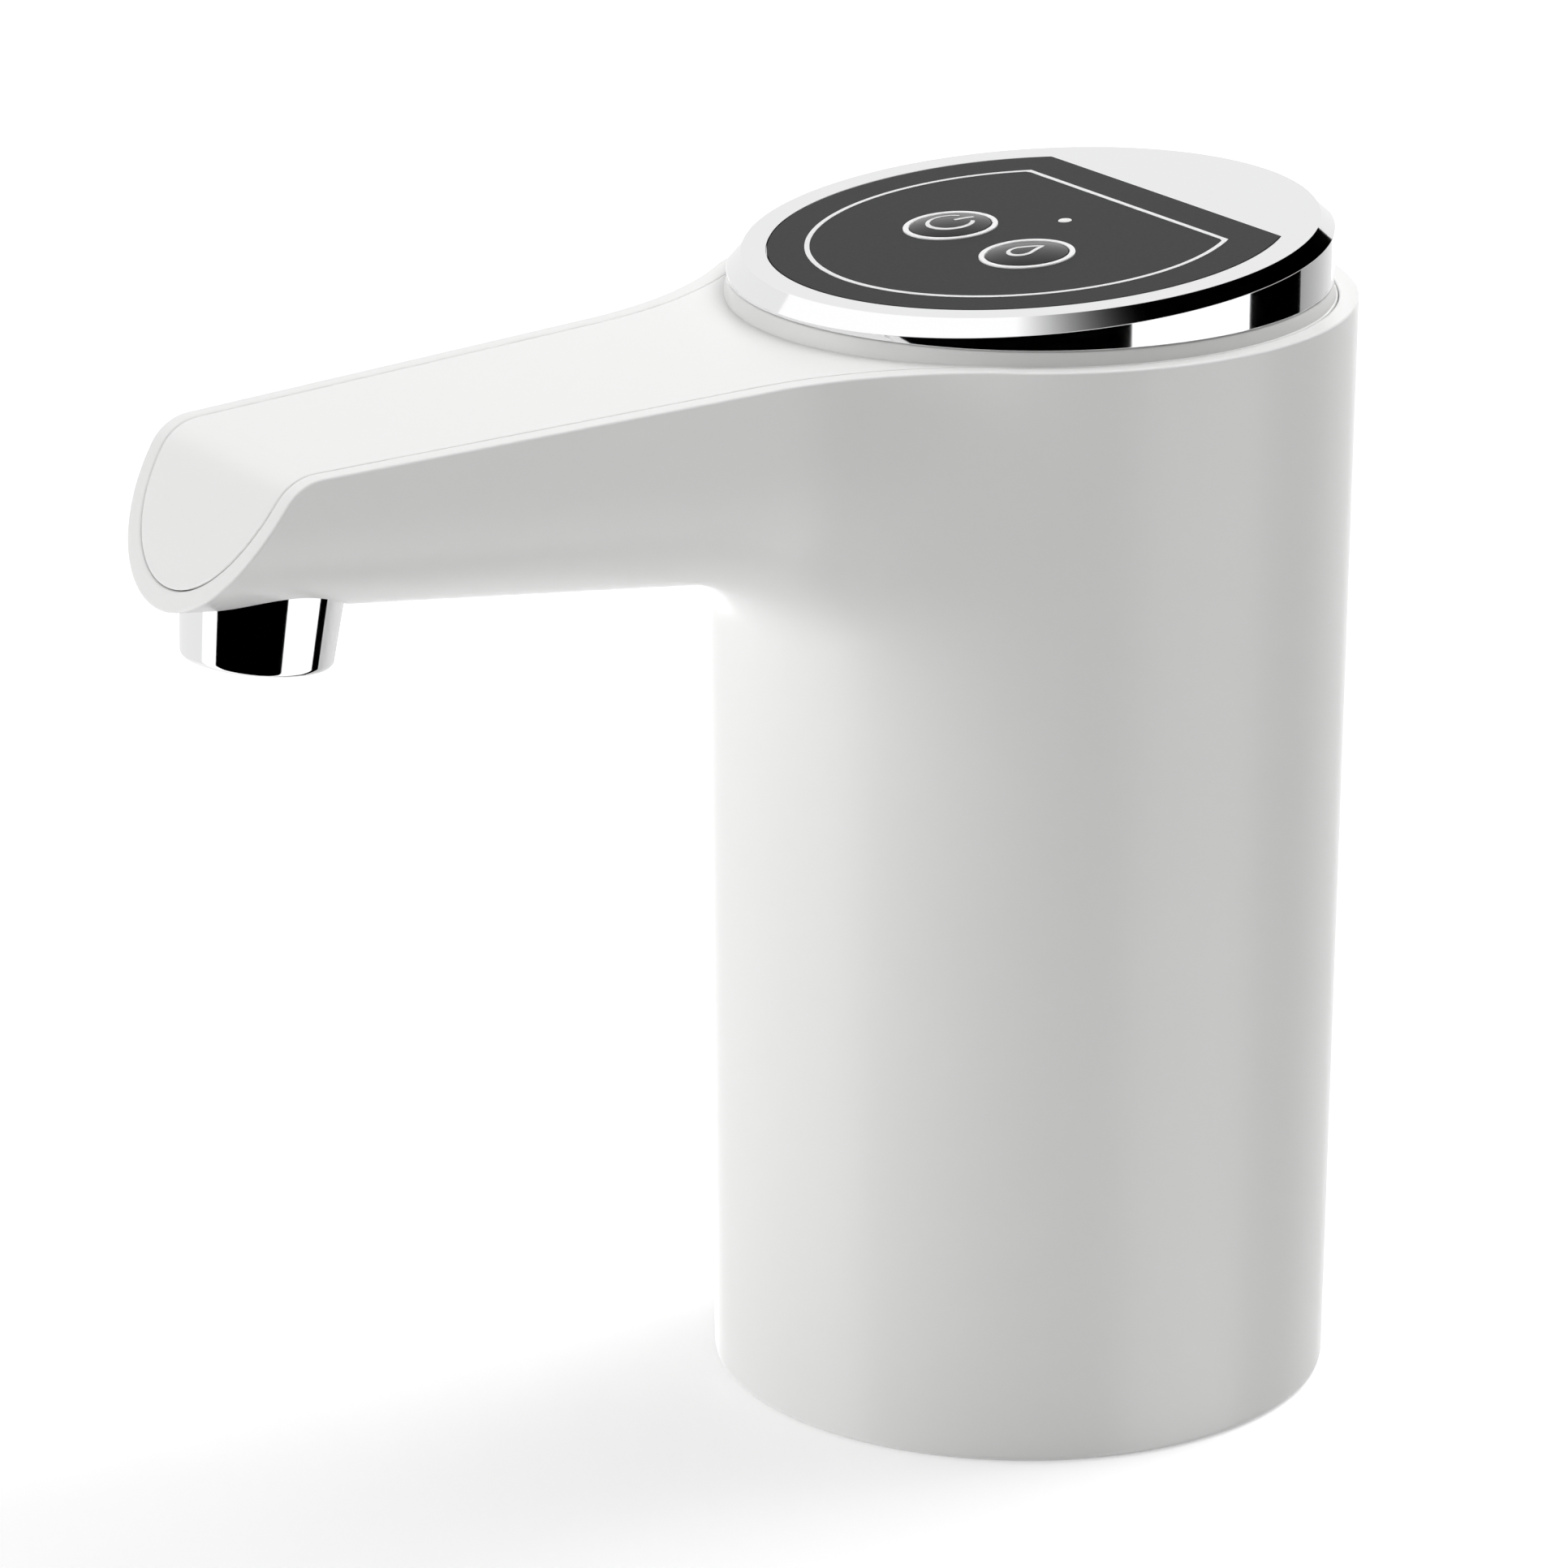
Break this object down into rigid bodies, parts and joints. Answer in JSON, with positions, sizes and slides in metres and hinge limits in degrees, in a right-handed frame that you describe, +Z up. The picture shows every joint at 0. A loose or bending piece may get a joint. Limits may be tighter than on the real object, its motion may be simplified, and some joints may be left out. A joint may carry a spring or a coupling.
{
  "type": "electric water jug pump",
  "caption": "Battery-driven pump that sits on a water jug's neck: tapered drum, long channel spout with a plated nozzle, and a sloping plated cap with push buttons.",
  "frame": {"origin": "mouth of the jug neck socket, on the body's axis at its bottom rim", "axes": "+Z up along the body's axis, the spout towards -Y, symmetric outside about X = 0"},
  "size_m": [0.072, 0.1438, 0.134],
  "materials": {
    "white_abs": "smooth gloss moulded",
    "cover_white": "smooth gloss moulded",
    "chrome_plate": "bright plated",
    "panel_dark": "satin dark grey",
    "ring_white": "gloss",
    "button_black": "high gloss",
    "lens_clear": "frosted light pipe",
    "board_green": "solder mask",
    "chip_black": "moulded",
    "seal_rubber": "moulded silicone",
    "tube_silicone": "translucent silicone",
    "pump_plastic": "moulded",
    "frame_plastic": "moulded",
    "steel": "zinc plated",
    "brass": "bright",
    "magnet": "sintered ferrite",
    "cell_wrap": "shrink wrap",
    "lead_red": "wire sleeve"
  },
  "bodies": {
    "pump_body": {"body_shell": "white_abs", "top_cover": "cover_white", "chrome_cap": "chrome_plate", "control_panel": "panel_dark", "button_bezels": "ring_white", "indicator_lens": "lens_clear", "control_board": "board_green", "board_components": "chip_black", "tact_switches": "chip_black", "board_screws": "steel", "base_plate": "pump_plastic", "neck_seal": "seal_rubber", "base_screws": "steel", "mid_frame": "frame_plastic", "frame_screws": "steel", "battery_cell": "cell_wrap", "battery_tabs": "steel", "battery_leads": "lead_red", "motor_can": "steel", "motor_end_cap": "pump_plastic", "motor_terminals": "brass", "motor_magnets": "magnet", "motor_bushings": "brass", "motor_screws": "steel", "motor_leads": "lead_red", "pump_housing": "pump_plastic", "diaphragm": "seal_rubber", "valve_plate": "pump_plastic", "check_valves": "seal_rubber", "pump_head": "pump_plastic", "pump_screws": "steel", "inlet_tube": "tube_silicone", "outlet_tube": "tube_silicone", "outlet_elbow": "pump_plastic", "nozzle": "chrome_plate", "usb_socket": "steel", "charge_board": "board_green", "charge_leads": "chip_black"},
    "power_key": {"power_button": "button_black", "power_plunger": "chip_black"},
    "dispense_key": {"dispense_button": "button_black", "dispense_plunger": "chip_black"},
    "rotor": {"motor_shaft": "steel", "rotor_core": "steel", "rotor_windings": "brass", "commutator": "brass", "drive_cam": "pump_plastic", "crank_pin": "steel"},
    "wobbler": {"wobble_plate": "pump_plastic"}
  },
  "joints": [
    {"name": "power_press", "type": "slide", "parent": "pump_body", "child": "power_key", "axis": [0, 0.0872, -0.9962], "range_m": [0, 0.0005], "stiffness_N_per_m": 400},
    {"name": "dispense_press", "type": "slide", "parent": "pump_body", "child": "dispense_key", "axis": [0, 0.0872, -0.9962], "range_m": [0, 0.0005], "stiffness_N_per_m": 400},
    {"name": "rotor_spin", "type": "hinge", "parent": "pump_body", "child": "rotor", "pos_m": [0, -0.01, 0.098], "axis": [0, 0, 1], "continuous": true},
    {"name": "wobble_nutate", "type": "hinge", "parent": "rotor", "child": "wobbler", "pos_m": [0, -0.01, 0.066], "axis": [0, -0.1045, 0.9945], "continuous": true}
  ],
  "couplings": [
    {"joint": "wobble_nutate", "follows": "rotor_spin", "ratio": -1}
  ]
}
